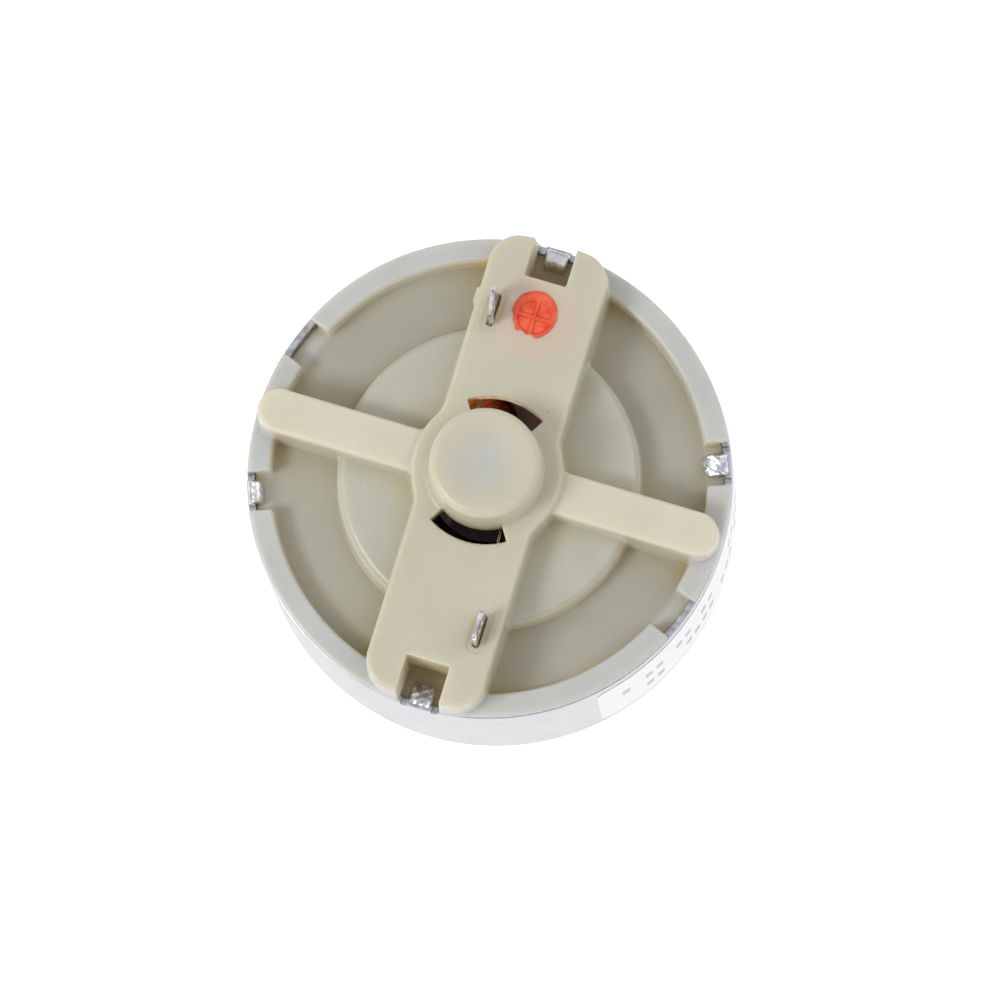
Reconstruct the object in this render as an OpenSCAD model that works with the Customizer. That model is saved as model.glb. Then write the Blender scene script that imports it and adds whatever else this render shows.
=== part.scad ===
// Flat brushed can motor with an eccentric weight on its shaft (vibration motor).
// Origin: centre of the can's front face. +Z runs along the shaft towards the
// moulded end bell, +Y along the end bell's wide bar, towards the red mark.

/* [Can] */
// Outside diameter of the drawn steel can
can_d = 24.4; // [23.6:0.1:25.2]
// Height of the can from its front face to its open edge
can_h = 11.1; // [11:0.05:11.2]
// Sheet thickness of the can
can_wall = 0.35; // [0.3:0.05:0.4]
// Outside radius of the drawn front corner
can_corner_r = 0.8; // [0.6:0.1:1.2]
// Diameter of the bearing boss on the front face
front_boss_d = 4.6; // [4.4:0.1:5]
// Height of the bearing boss on the front face
front_boss_h = 1.1; // [1:0.1:1.4]
// Pitch circle of the two front mounting holes
screw_pcd = 17; // [16.8:0.1:17.4]
// Diameter of the front mounting holes
screw_hole_d = 2; // [1.6:0.1:2.1]

/* [End bell] */
// Height of the flange that sits on the can's edge
flange_h = 0.6; // [0.5:0.05:0.7]
// Inside diameter of the flange ring
flange_inner_d = 22; // [21.6:0.1:22.2]
// Diameter of the raised centre disc
disc_d = 15.2; // [15:0.1:15.4]
// Height of the raised centre disc's top above the front face
disc_top = 11.85; // [11.8:0.05:11.95]
// Height of the bar's top above the front face
bar_top = 13.9; // [13.85:0.05:14.1]
// Height of the narrow arms' top above the front face
arm_top = 13.5; // [13.3:0.05:13.7]
// Width of the wide bar
bar_w = 6.1; // [6:0.1:6.4]
// Width of the narrow arms
arm_w = 2.2; // [2:0.05:2.4]
// Diameter of the round plate where bar and arms cross
hub_d = 7.65; // [7.6:0.05:7.8]
// Diameter of the rear bearing boss at its foot
boss_d = 5.84; // [5.7:0.02:6]
// Height of the rear bearing boss's top above the front face
boss_top = 16.55; // [16.5:0.05:16.8]
// Outside diameter of the two arc windows
window_outer_d = 7.5; // [7.2:0.05:7.5]
// Half of the angle that each arc window spans
window_half_angle = 32; // [26:1:34]
// Width of the notches in the flange ring
notch_w = 2.15; // [2:0.05:2.3]
// Width of the notches in the bar's ends
bar_notch_w = 2.3; // [2.2:0.05:2.4]
// Distance of the bar's notches from the axis
bar_notch_from = 10.1; // [10:0.05:10.3]

/* [Crimp tabs] */
// Width of each crimp tab
tab_w = 1.3; // [1.1:0.05:1.5]
// How far a rolled tab reaches inwards from the can's outside
rolled_reach = 0.95; // [0.9:0.05:1.1]
// How far a flat tab reaches inwards from the can's outside
flat_reach = 1.3; // [1.2:0.05:1.4]

/* [Terminals] */
// Distance of the terminals from the bar's centre line
terminal_x = 2.05; // [2:0.05:2.1]
// Distance of the terminals from the axis, along the bar
terminal_y = 7.9; // [7.8:0.05:8]
// Width of each terminal
terminal_w = 1.6; // [1.4:0.05:1.7]
// Sheet thickness of the terminals
terminal_t = 0.25; // [0.2:0.05:0.3]
// Height of each terminal above the bar
terminal_h = 2.3; // [2:0.1:2.6]

/* [Rotor] */
// Shaft diameter
shaft_d = 1.5; // [1.48:0.01:1.5]
// Radial clearance between the shaft and its bushes
bush_gap = 0.02; // [0.01:0.01:0.05]
// Outside diameter of the armature
armature_d = 17.4; // [17:0.1:17.6]
// Number of laminations in the armature's stack
laminations = 12; // [9:1:12]
// Width of each armature arm
core_arm_w = 2.2; // [2:0.1:2.4]
// Commutator diameter over its copper segments
commutator_d = 2.6; // [2.5:0.02:2.6]
// Diameter of the varistor ring
varistor_d = 6.1; // [5.8:0.1:6.2]
// Radius of the eccentric weight
weight_r = 7.4; // [6:0.1:7.4]
// Thickness of the eccentric weight
weight_t = 3.3; // [2.5:0.1:3.6]

/* [Label] */
// Angle that the label wraps around the can
label_angle = 92; // [80:1:100]
// Height of the label
label_h = 8.5; // [6:0.1:8.8]

/* [Hidden] */
$fn = 96;
e = 0.01;                                // overshoot of a cut past a surface

can_r = can_d / 2;
can_bore_r = can_r - can_wall;
flange_r = can_r - 0.05;
flange_top = can_h + flange_h;
floor_top = can_h - 0.7;                 // recessed floor of the end bell
floor_under = floor_top - 0.9;
bell_r = can_bore_r - 0.02;              // the part of the end bell inside the can
disc_under = disc_top - 0.75;
bar_under = bar_top - 0.9;
bar_end_r = flange_r - 0.15;
bar_corner_r = 1.2;
arm_tip_r = flange_r - 0.07;
cavity_x = 2.55;                         // half width of the room under the bar
cavity_y = 9.3;                          // half length of the room under the bar
tab_t = can_wall;
rolled_tabs = [90, 200];                 // notches with a tab rolled down
flat_tabs = [20, 270];                   // notches with a tab folded flat
open_angles = [340, 160];                // notches that show the can's edge

bush_bore_r = shaft_d / 2 + bush_gap;
bush_r = 1.75;
rear_bush_z = [bar_under + 0.2, boss_top - 0.9];
thrust_t = 0.2;
front_bush_z = [0.1 - front_boss_h, 0.9];
shaft_z = [-5.25, rear_bush_z[1] - 0.02];

magnet_r = [9.2, can_bore_r - 0.02];
magnet_z = [0.8, 8.4];
magnet_angle = 146;
lamination_t = 0.44;
lamination_pitch = 0.46;
core_z = 2.25;
core_top = core_z + laminations * lamination_pitch;
shoe_r = 7.2;                            // inside radius of the pole shoes
shoe_angle = 98;
core_hub_r = 2.3;
core_angles = [137, 257, 17];            // armature arms
insulator_t = 0.35;
coil_r = [3, 6.5];                       // radial room of each coil
coil_half_w = 3.02;
coil_z = [0.95, 9.25];
varistor_z = [9.42, 9.85];
commutator_z = [9.95, 12.6];
commutator_r = commutator_d / 2;
segment_t = 0.25;
leaf_t = 0.12;
leaf_z = [10.8, 12.4];
leaf_x = commutator_r + 0.06 + leaf_t / 2;
weight_z = [-2.1 - weight_t, -2.1];
weight_hub_r = 2.2;
label_t = 0.05;
label_z = 1.6;
label_corner_r = 0.7;
label_start = -47;

module ring(r_in, r_out, z0, z1)
    translate([0, 0, z0]) difference() {
        cylinder(r = r_out, h = z1 - z0);
        translate([0, 0, -e]) cylinder(r = r_in, h = z1 - z0 + 2 * e);
    }

// A wall of revolution over one angle, centred on the direction "at".
module arc_wall(r_in, r_out, z0, z1, at, angle)
    rotate([0, 0, at - angle / 2]) rotate_extrude(angle = angle)
        translate([r_in, z0]) square([r_out - r_in, z1 - z0]);

// A block that starts at radius r0 and points along the direction "at".
module spoke(at, r0, r1, w, z0, z1)
    rotate([0, 0, at]) translate([r0, -w / 2, z0]) cube([r1 - r0, w, z1 - z0]);

// Profile of a tab rolled inwards and down, from the can's edge to the notch's floor.
module rolled_profile(reach) {
    roll = reach / 2;
    roll_z = can_h - 0.3;
    translate([can_r - tab_t, can_h - 0.6]) square([tab_t, roll_z - can_h + 0.6 + e]);
    translate([can_r - reach, floor_top + 0.02])
        square([tab_t, roll_z - floor_top - 0.02 + e]);
    intersection() {
        translate([can_r - roll, roll_z]) difference() {
            circle(r = roll, $fn = 64);
            circle(r = roll - tab_t, $fn = 64);
        }
        translate([can_r - reach - e, roll_z]) square(reach + 2 * e);
    }
}

// Profile of a tab bent over at the can's edge and lying flat.
module flat_profile(reach) {
    bend = 0.45;
    top = can_h + 0.15;
    translate([can_r - reach, top - tab_t]) square([reach - bend + e, tab_t]);
    translate([can_r - tab_t, can_h - 0.6]) square([tab_t, top - bend - can_h + 0.6 + e]);
    intersection() {
        translate([can_r - bend, top - bend]) difference() {
            circle(r = bend, $fn = 48);
            circle(r = bend - tab_t, $fn = 48);
        }
        translate([can_r - bend, top - bend]) square(bend + e);
    }
}

module crimp_tab(at, rolled) {
    half = asin(tab_w / 2 / can_r);
    rotate([0, 0, at - half]) rotate_extrude(angle = 2 * half)
        if (rolled) rolled_profile(rolled_reach);
        else flat_profile(flat_reach);
}

module motor_can() color([0.86, 0.86, 0.88]) {
    relief = 0.32;
    difference() {
        union() {
            rotate_extrude() difference() {
                union() {
                    translate([0, can_corner_r]) square([can_r, can_h - can_corner_r]);
                    square([can_r - can_corner_r, can_corner_r + e]);
                    translate([can_r - can_corner_r, can_corner_r]) circle(r = can_corner_r);
                }
                translate([-1, can_wall]) square([can_bore_r + 1, can_h]);
            }
            translate([0, 0, -front_boss_h])
                cylinder(d = front_boss_d, h = front_boss_h + can_wall + 0.1);
        }
        translate([0, 0, -front_boss_h - e]) cylinder(r = bush_r, h = front_boss_h + 1);
        for (side = [-1, 1]) translate([side * screw_pcd / 2, 0, -e])
            cylinder(d = screw_hole_d, h = can_wall + 2 * e);
        for (at = concat(rolled_tabs, flat_tabs), side = [-1, 1])
            spoke(at + side * asin((tab_w + relief) / 2 / can_r), can_bore_r - 0.2,
                  can_r + 0.2, relief, can_h - 0.5, can_h + e);
    }
    for (at = rolled_tabs) crimp_tab(at, true);
    for (at = flat_tabs) crimp_tab(at, false);
}

// Outline of the wide bar: straight sides, rounded corners, ends on a circle.
module bar_outline() {
    corner_x = bar_w / 2 - bar_corner_r;
    corner_dist = bar_end_r - bar_corner_r;
    corner_y = sqrt(corner_dist * corner_dist - corner_x * corner_x);
    translate([-bar_w / 2, -corner_y]) square([bar_w, 2 * corner_y]);
    for (side = [-1, 1], end = [-1, 1])
        translate([side * corner_x, end * corner_y]) circle(r = bar_corner_r, $fn = 48);
    intersection() {
        circle(r = bar_end_r);
        for (end = [-1, 1]) polygon([[0, 0], [-2 * corner_x, 2 * end * corner_y],
                                     [2 * corner_x, 2 * end * corner_y]]);
    }
}

module arm_outline() {
    tip_x = arm_tip_r - arm_w / 2;
    translate([-tip_x, -arm_w / 2]) square([2 * tip_x, arm_w]);
    for (side = [-1, 1]) translate([side * tip_x, 0]) circle(r = arm_w / 2, $fn = 48);
}

// Outline of the boss, turned around the axis: drafted wall, round shoulder, dish.
module boss_profile() {
    shoulder = 0.6;
    top_r = boss_d / 2 - 0.15;
    difference() {
        union() {
            translate([0, bar_top - 0.4]) square([boss_d / 2, 0.8]);
            polygon([[0, bar_top], [boss_d / 2, bar_top + 0.4 - e],
                     [top_r, boss_top - shoulder], [0, boss_top - shoulder]]);
            translate([0, boss_top - shoulder - e])
                square([top_r - shoulder, shoulder + e]);
            translate([top_r - shoulder, boss_top - shoulder])
                circle(r = shoulder, $fn = 64);
        }
        translate([0, boss_top + 5.25]) circle(r = 5.5, $fn = 128);
        translate([-1, bar_top - 1]) square([1, 4]);
    }
}

module window_outline()
    intersection() {
        difference() {
            circle(d = window_outer_d);
            circle(d = boss_d);
        }
        far = 6;
        for (end = [-1, 1]) polygon([[0, 0],
            [-far * sin(window_half_angle), end * far * cos(window_half_angle)],
            [far * sin(window_half_angle), end * far * cos(window_half_angle)]]);
    }

module end_bell() color([0.88, 0.86, 0.78]) {
    edge = 0.2;
    difference() {
        union() {
            rotate_extrude() {
                translate([flange_inner_d / 2, can_h])
                    square([flange_r - flange_inner_d / 2, flange_h - edge]);
                translate([flange_inner_d / 2 + edge, can_h])
                    square([flange_r - flange_inner_d / 2 - 2 * edge, flange_h]);
                for (r = [flange_inner_d / 2 + edge, flange_r - edge])
                    translate([r, flange_top - edge]) circle(r = edge, $fn = 32);
                translate([0, floor_under]) square([bell_r, can_h - floor_under + e]);
                translate([bell_r - 0.65, magnet_z[1] + 0.05])
                    square([0.65, floor_under - magnet_z[1]]);
                translate([0, floor_top]) square([disc_d / 2, disc_top - floor_top - edge]);
                translate([0, floor_top]) square([disc_d / 2 - edge, disc_top - floor_top]);
                translate([disc_d / 2 - edge, disc_top - edge]) circle(r = edge, $fn = 32);
                boss_profile();
            }
            translate([0, 0, can_h]) linear_extrude(bar_top - can_h) {
                bar_outline();
                circle(d = hub_d);
            }
            translate([0, 0, can_h]) linear_extrude(arm_top - can_h) arm_outline();
        }
        // the floor is recessed between the disc and the flange
        difference() {
            ring(disc_d / 2, flange_inner_d / 2, floor_top, can_h + 0.1);
            translate([0, 0, can_h - 1]) linear_extrude(2) {
                bar_outline();
                arm_outline();
            }
        }
        // room for the coils, the varistor, the brushes and the rear bush
        translate([0, 0, magnet_z[1]])
            cylinder(r = disc_d / 2 - 0.5, h = disc_under - magnet_z[1]);
        translate([-cavity_x, -cavity_y, magnet_z[1]])
            cube([2 * cavity_x, 2 * cavity_y, bar_under - magnet_z[1]]);
        translate([0, 0, bar_under - e])
            cylinder(r = bush_r, h = rear_bush_z[1] + thrust_t - bar_under + e);
        translate([0, 0, bar_under - 1]) linear_extrude(3) window_outline();
        // notches in the flange ring and in the bar's ends
        for (at = concat([20, 200], open_angles))
            spoke(at, disc_d / 2 + 2.4, can_r + 1, notch_w, floor_top, flange_top + 1);
        for (at = [90, 270])
            spoke(at, bar_notch_from, can_r + 1, bar_notch_w, floor_top, bar_top + 1);
        // slots for the terminals, with a shallow recess around each
        for (end = [-1, 1]) translate([-end * terminal_x, end * terminal_y, 0]) {
            translate([-terminal_t / 2 - 0.02, -terminal_w / 2 - 0.02, bar_under - 1])
                cube([terminal_t + 0.04, terminal_w + 0.04, 3]);
            translate([-0.45, -1.15, bar_top - 0.1]) cube([0.9, 2.3, 1]);
        }
        // moulded ring with a cross, under the polarity mark
        translate([0, 8.35, bar_top - 0.15]) difference() {
            cylinder(r = 0.88, h = 1, $fn = 48);
            translate([-1, -0.12, -e]) cube([2, 0.24, 0.1]);
            translate([-0.12, -1, -e]) cube([0.24, 2, 0.1]);
        }
    }
    // feed mark of the mould on the bar's side
    translate([-bar_w / 2 - 0.1, 8, disc_top - 0.4]) cube([0.2, 0.9, bar_top - disc_top]);
}

module bush(z) color([0.72, 0.58, 0.36]) ring(bush_bore_r, bush_r, z[0], z[1]);

module front_bush() bush(front_bush_z);

module rear_bush() bush(rear_bush_z);

module thrust_plate() color([0.93, 0.93, 0.9])
    translate([0, 0, rear_bush_z[1]]) cylinder(r = bush_r - 0.05, h = thrust_t);

module magnet(at) color([0.2, 0.2, 0.21])
    arc_wall(magnet_r[0], magnet_r[1], magnet_z[0], magnet_z[1], at, magnet_angle);

module magnet_north() magnet(0);

module magnet_south() magnet(180);

// A bent strip that pushes the two magnets apart.
module magnet_clip() color([0.75, 0.75, 0.78]) {
    reach = 90 - magnet_angle / 2;
    low = magnet_z[0] + 0.3;
    high = magnet_z[1] - 0.3;
    arc_wall(magnet_r[1] - 0.35, magnet_r[1], low, high, 90, 2 * reach - 0.4);
    for (side = [-1, 1])
        arc_wall(magnet_r[0] + 0.6, magnet_r[1] - 0.3, low, high, 90 + side * (reach - 1.2), 1.6);
}

// Blade with a round top and a wire hole, standing in the bar's plate.
module terminal(end) color([0.85, 0.85, 0.86])
    translate([-end * terminal_x - terminal_t / 2, end * terminal_y, 0])
        rotate([90, 0, 90]) linear_extrude(terminal_t) difference() {
            top = bar_top + terminal_h;
            union() {
                translate([-terminal_w / 2, leaf_z[0]])
                    square([terminal_w, top - terminal_w / 2 - leaf_z[0]]);
                translate([0, top - terminal_w / 2]) circle(d = terminal_w, $fn = 48);
            }
            translate([0, top - terminal_w / 2]) circle(d = 0.7, $fn = 32);
        }

module terminal_positive() terminal(1);

module terminal_negative() terminal(-1);

// Spring leaf: welded to its terminal, then running along the bar past the commutator.
module brush_leaf(end) color([0.88, 0.84, 0.72]) {
    foot_in = terminal_x - terminal_t / 2 - leaf_t;
    foot_out = terminal_x - terminal_t / 2;
    run_in = leaf_x - leaf_t / 2;
    run_out = leaf_x + leaf_t / 2;
    bend_y = 2.4;
    foot_y = terminal_y - terminal_w / 2 - 0.2;
    rotate([0, 0, end > 0 ? 0 : 180]) mirror([1, 0, 0]) translate([0, 0, leaf_z[0]])
        linear_extrude(leaf_z[1] - leaf_z[0])
            polygon([[run_in, -1.7], [run_out, -1.7], [run_out, bend_y],
                     [foot_out, foot_y], [foot_out, foot_y + terminal_w],
                     [foot_in, foot_y + terminal_w], [foot_in, foot_y], [run_in, bend_y]]);
}

module brush_leaf_positive() brush_leaf(1);

module brush_leaf_negative() brush_leaf(-1);

// Soft pad on the outside of each leaf that stops it from ringing.
module brush_damper(end) color([0.55, 0.25, 0.2])
    translate([-end * (leaf_x + leaf_t / 2 + 0.36) , end * 0.4, leaf_z[0] + 0.3])
        translate([-0.35, -0.6, 0]) cube([0.7, 1.2, leaf_z[1] - leaf_z[0] - 0.6]);

module brush_damper_positive() brush_damper(1);

module brush_damper_negative() brush_damper(-1);

module polarity_mark() color([0.92, 0.36, 0.26])
    translate([0.03, 8.4, bar_top]) cylinder(r = 1.1, h = 0.04, $fn = 48);

module label() color([0.95, 0.95, 0.96]) intersection() {
    arc_wall(can_r, can_r + label_t, label_z, label_z + label_h,
             label_start + label_angle / 2, label_angle);
    corner = label_corner_r / can_r * 180 / PI;
    union() {
        arc_wall(can_r - 1, can_r + 1, label_z - 1, label_z + label_h + 1,
                 label_start + label_angle / 2, label_angle - 2 * corner);
        arc_wall(can_r - 1, can_r + 1, label_z + label_corner_r,
                 label_z + label_h - label_corner_r,
                 label_start + label_angle / 2, label_angle);
        for (at = [corner, label_angle - corner],
             z = [label_z + label_corner_r, label_z + label_h - label_corner_r])
            rotate([0, 0, label_start + at]) translate([can_r - 1, 0, z])
                rotate([0, 90, 0]) cylinder(r = label_corner_r, h = 2, $fn = 48);
    }
}

module shaft() color([0.8, 0.8, 0.82])
    translate([0, 0, shaft_z[0]]) cylinder(d = shaft_d, h = shaft_z[1] - shaft_z[0]);

// Three arms with pole shoes, in the plane.
module core_outline(arm_w, hub_r, grow)
    difference() {
        union() {
            circle(r = hub_r);
            for (at = core_angles) rotate([0, 0, at]) {
                translate([0, -arm_w / 2]) square([shoe_r + 0.4, arm_w]);
                intersection() {
                    difference() {
                        circle(r = armature_d / 2 - 0.02 + grow);
                        circle(r = shoe_r);
                    }
                    far = 2 * armature_d;
                    polygon([[0, 0], [far * cos(shoe_angle / 2), -far * sin(shoe_angle / 2)],
                             [far * cos(shoe_angle / 2), far * sin(shoe_angle / 2)]]);
                }
            }
        }
        circle(d = shaft_d);
    }

module armature_core() color([0.45, 0.45, 0.48])
    for (i = [0 : laminations - 1])
        translate([0, 0, core_z + i * lamination_pitch])
            linear_extrude(lamination_t) core_outline(core_arm_w, core_hub_r, 0);

module insulator(z) color([0.15, 0.3, 0.25])
    translate([0, 0, z]) linear_extrude(insulator_t)
        core_outline(core_arm_w + 0.3, core_hub_r + 0.2, -0.5);

module insulator_front() insulator(core_z - 0.02 - insulator_t);

module insulator_rear() insulator(core_top);

// One winding: a rounded bundle around an arm, open where the arm runs through.
module coil(i) color([0.72, 0.38, 0.22])
    rotate([0, 0, core_angles[i]]) difference() {
        corner = 0.9;
        translate([coil_r[0], 0, 0]) rotate([90, 0, 90])
            linear_extrude(coil_r[1] - coil_r[0]) {
                for (side = [-1, 1], z = [coil_z[0] + corner, coil_z[1] - corner])
                    translate([side * (coil_half_w - corner), z]) circle(r = corner, $fn = 48);
                translate([-coil_half_w, coil_z[0] + corner])
                    square([2 * coil_half_w, coil_z[1] - coil_z[0] - 2 * corner]);
                translate([-coil_half_w + corner, coil_z[0]])
                    square([2 * coil_half_w - 2 * corner, coil_z[1] - coil_z[0]]);
            }
        translate([0, -core_arm_w / 2 - 0.17, core_z - insulator_t - 0.04])
            cube([10, core_arm_w + 0.34, core_top - core_z + 2 * insulator_t + 0.08]);
    }

module coil_1() coil(0);

module coil_2() coil(1);

module coil_3() coil(2);

module commutator_hub() color([0.18, 0.18, 0.17])
    ring(shaft_d / 2, commutator_r - segment_t, core_top + insulator_t + 0.02, commutator_z[1]);

// Copper shell over a third of the hub, with a riser tag for the coil ends.
module commutator_segment(i) color([0.8, 0.5, 0.3]) {
    at = core_angles[i] + 60;
    arc_wall(commutator_r - segment_t, commutator_r, commutator_z[0], commutator_z[1] - 0.15,
             at, 112);
    arc_wall(commutator_r - e, varistor_d / 2 - 0.6, varistor_z[1], commutator_z[0] + 0.12,
             at, 30);
}

module commutator_segment_1() commutator_segment(0);

module commutator_segment_2() commutator_segment(1);

module commutator_segment_3() commutator_segment(2);

module varistor_ring() color([0.12, 0.11, 0.11])
    ring(commutator_r - segment_t, varistor_d / 2, varistor_z[0], varistor_z[1]);

module spacer(z0, z1) color([0.9, 0.9, 0.85]) ring(shaft_d / 2, 1.25, z0, z1);

module front_spacer() spacer(front_bush_z[1] + 0.05, core_z - insulator_t - 0.03);

module rear_spacer() spacer(commutator_z[1] + 0.02, rear_bush_z[0] - 0.05);

// Half disc around a hub, pressed on the shaft.
module eccentric_weight() color([0.7, 0.62, 0.42]) difference() {
    translate([0, 0, weight_z[0]]) linear_extrude(weight_t) {
        circle(r = weight_hub_r);
        intersection() {
            circle(r = weight_r);
            translate([-weight_r, -weight_r - 1]) square([2 * weight_r, weight_r + 1]);
        }
    }
    translate([0, 0, weight_z[0] - e]) cylinder(d = shaft_d, h = weight_t + 2 * e);
}

motor_can();
end_bell();
front_bush();
rear_bush();
thrust_plate();
magnet_north();
magnet_south();
magnet_clip();
terminal_positive();
terminal_negative();
brush_leaf_positive();
brush_leaf_negative();
brush_damper_positive();
brush_damper_negative();
polarity_mark();
label();
shaft();
armature_core();
insulator_front();
insulator_rear();
coil_1();
coil_2();
coil_3();
commutator_hub();
commutator_segment_1();
commutator_segment_2();
commutator_segment_3();
varistor_ring();
front_spacer();
rear_spacer();
eccentric_weight();
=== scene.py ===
"""Looks for the flat vibration motor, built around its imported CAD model.

Shapes are written in millimetres in the CAD's own frame and become metres in add_mesh() and
plain_object(). The camera's distance and the lights are in metres.
"""
import math

import bpy
import numpy as np
import openvdb
from mathutils import Matrix, Vector


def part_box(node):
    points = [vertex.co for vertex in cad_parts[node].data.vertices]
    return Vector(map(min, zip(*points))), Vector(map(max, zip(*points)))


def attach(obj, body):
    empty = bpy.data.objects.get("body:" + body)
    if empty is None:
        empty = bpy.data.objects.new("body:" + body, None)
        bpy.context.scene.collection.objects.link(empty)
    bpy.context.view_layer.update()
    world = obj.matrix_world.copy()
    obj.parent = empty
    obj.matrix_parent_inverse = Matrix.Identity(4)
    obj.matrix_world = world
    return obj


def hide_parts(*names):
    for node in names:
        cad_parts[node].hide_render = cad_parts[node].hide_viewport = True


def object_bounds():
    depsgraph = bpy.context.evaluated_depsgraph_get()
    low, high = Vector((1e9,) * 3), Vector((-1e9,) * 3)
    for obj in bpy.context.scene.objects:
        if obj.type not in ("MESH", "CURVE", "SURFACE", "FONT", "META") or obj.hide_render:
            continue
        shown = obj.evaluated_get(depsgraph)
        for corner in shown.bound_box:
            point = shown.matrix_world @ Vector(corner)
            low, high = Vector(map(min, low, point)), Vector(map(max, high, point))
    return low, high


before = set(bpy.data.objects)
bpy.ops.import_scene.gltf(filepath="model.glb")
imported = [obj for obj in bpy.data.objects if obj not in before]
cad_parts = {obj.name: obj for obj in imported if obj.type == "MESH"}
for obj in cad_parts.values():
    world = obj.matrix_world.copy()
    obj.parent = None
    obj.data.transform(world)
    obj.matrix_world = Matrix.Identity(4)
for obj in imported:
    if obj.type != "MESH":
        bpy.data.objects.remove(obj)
cad_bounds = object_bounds()
MM = 0.001


def span(node):
    """Lowest and highest corner of a CAD node, in millimetres."""
    low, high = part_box(node)
    return np.array(low) / MM, np.array(high) / MM


# ---------------------------------------------------------------- driving sizes, mm
bell_high = span("end_bell")[1]
can_low = span("motor_can")[0]
CAN_R = -can_low[0]
WALL = 0.35
CAN_TOP = 11.1
FRONT_BOSS = [can_low[2], 2.3]  # lowest point and radius
BOSS_TOP = bell_high[2]
FLOOR = CAN_TOP - 0.7
BELL_R = CAN_R - WALL - 0.02
RING_R = [11.0, bell_high[0]]
RING_TOP = CAN_TOP + 0.6
DISC_R, DISC_TOP = 7.6, 11.85
BAR_HALF, BAR_TOP = 3.05, span("polarity_mark")[0][2]
BAR_END_R = RING_R[1] - 0.08
ARM_HALF, ARM_TOP = 1.1, 13.5
HUB_R = 3.82
BOSS_R = 2.92
BUSH_R = 1.75
SCREW_HOLES = [(-8.5, 0.0), (8.5, 0.0)]
WINDOW_R, WINDOW_HALF_ANGLE = 3.75, math.radians(32)
BAR_NOTCH_FROM = 10.1
# crimp tabs as {angle in degrees: reach inwards}
ROLLED_TABS = {90: 1.06, 200: 0.78}
FLAT_TABS = {20: 1.3, 270: 1.25}
TAB_ANGLES = [*ROLLED_TABS, *FLAT_TABS]
# notches in the flange as {angle in degrees: half of the width}
NOTCH_HALVES = {90: 1.02, 270: 1.05, 20: 1.075, 200: 0.97, 340: 1.075, 160: 1.075}
# terminals as {name: (x, y)} and {name: degrees out of line}
TERMINALS = {"terminal_positive": (-2.05, 7.9), "terminal_negative": (2.05, -7.9)}
TERMINAL_TWIST = {"terminal_positive": 11, "terminal_negative": 0}
TERMINAL_TOP = span("terminal_positive")[1][2]
MARK = (0.02, 8.09)
MARK_RING_R = 0.88
SHAFT_R = 0.75
# windings as (angle in degrees, distance from the axis at which they start)
WINDINGS = ((137, 2.5), (257, 3.3), (17, 2.8))


# ---------------------------------------------------------------- mesh helpers
def add_mesh(name, points, faces, material, body, slot, stands_for=(), normals=None):
    """One smooth-shaded piece from points in millimetres, riding on a body."""
    mesh = bpy.data.meshes.new(name)
    mesh.from_pydata((np.asarray(points) * MM).tolist(), [], faces)
    mesh.validate()
    mesh.polygons.foreach_set("use_smooth", [True] * len(mesh.polygons))
    if normals is None:
        mesh.set_sharp_from_angle(angle=math.radians(38))
    else:
        mesh.normals_split_custom_set_from_vertices(normals)
    piece = bpy.data.objects.new(name, mesh)
    bpy.context.collection.objects.link(piece)
    mesh.materials.append(material)
    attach(piece, body)
    if stands_for:
        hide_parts(*stands_for)


def fillet(corners, steps=6):
    """Closed outline from (x, y, radius) corners, each rounded by its radius."""
    outline = []
    for i, (x, y, radius) in enumerate(corners):
        here = np.array([x, y])
        back = np.array(corners[i - 1][:2]) - here
        ahead = np.array(corners[(i + 1) % len(corners)][:2]) - here
        back, ahead = back / np.linalg.norm(back), ahead / np.linalg.norm(ahead)
        half = math.acos(np.clip(back @ ahead, -1, 1)) / 2
        if radius <= 0 or half > math.radians(89):
            outline.append(here)
            continue
        reach = radius / math.tan(half)
        centre = here + (back + ahead) / np.linalg.norm(back + ahead) * radius / math.sin(half)
        first, last = here + back * reach - centre, here + ahead * reach - centre
        turn = math.atan2(first[0] * last[1] - first[1] * last[0], first @ last)
        for s in np.linspace(0, turn, steps + 1):
            outline.append(centre + np.array([
                first[0] * math.cos(s) - first[1] * math.sin(s),
                first[0] * math.sin(s) + first[1] * math.cos(s)]))
    return np.array(outline)


def lathe(outline, segments=192):
    """Points and faces of a closed (r, z) outline turned about Z."""
    outline = np.asarray(outline)
    angle = np.linspace(0, 2 * math.pi, segments, endpoint=False)
    points = np.stack([np.outer(np.cos(angle), outline[:, 0]),
                       np.outer(np.sin(angle), outline[:, 0]),
                       np.tile(outline[:, 1], (segments, 1))], -1).reshape(-1, 3)
    n = len(outline)
    faces = [(i * n + j, ((i + 1) % segments) * n + j,
              ((i + 1) % segments) * n + (j + 1) % n, i * n + (j + 1) % n)
             for i in range(segments) for j in range(n)]
    return points, faces


def join(*parts):
    """Several (points, faces) as one."""
    points, faces, base = [], [], 0
    for some_points, some_faces in parts:
        points.append(np.asarray(some_points, dtype=float))
        faces += [tuple(base + i for i in f) for f in some_faces]
        base += len(some_points)
    return np.concatenate(points), faces


def grow(outline, distance):
    """A closed outline moved outwards along its corners' normals."""
    ahead = np.roll(outline, -1, 0) - outline
    ahead /= np.linalg.norm(ahead, axis=1, keepdims=True) + 1e-12
    back = np.roll(ahead, 1, 0)
    normal = np.stack([ahead[:, 1] + back[:, 1], -ahead[:, 0] - back[:, 0]], 1)
    normal /= np.linalg.norm(normal, axis=1, keepdims=True) + 1e-12
    cosine = np.clip((normal * np.stack([ahead[:, 1], -ahead[:, 0]], 1)).sum(1), 0.3, 1)
    return outline + normal * (distance / cosine)[:, None]


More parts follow.
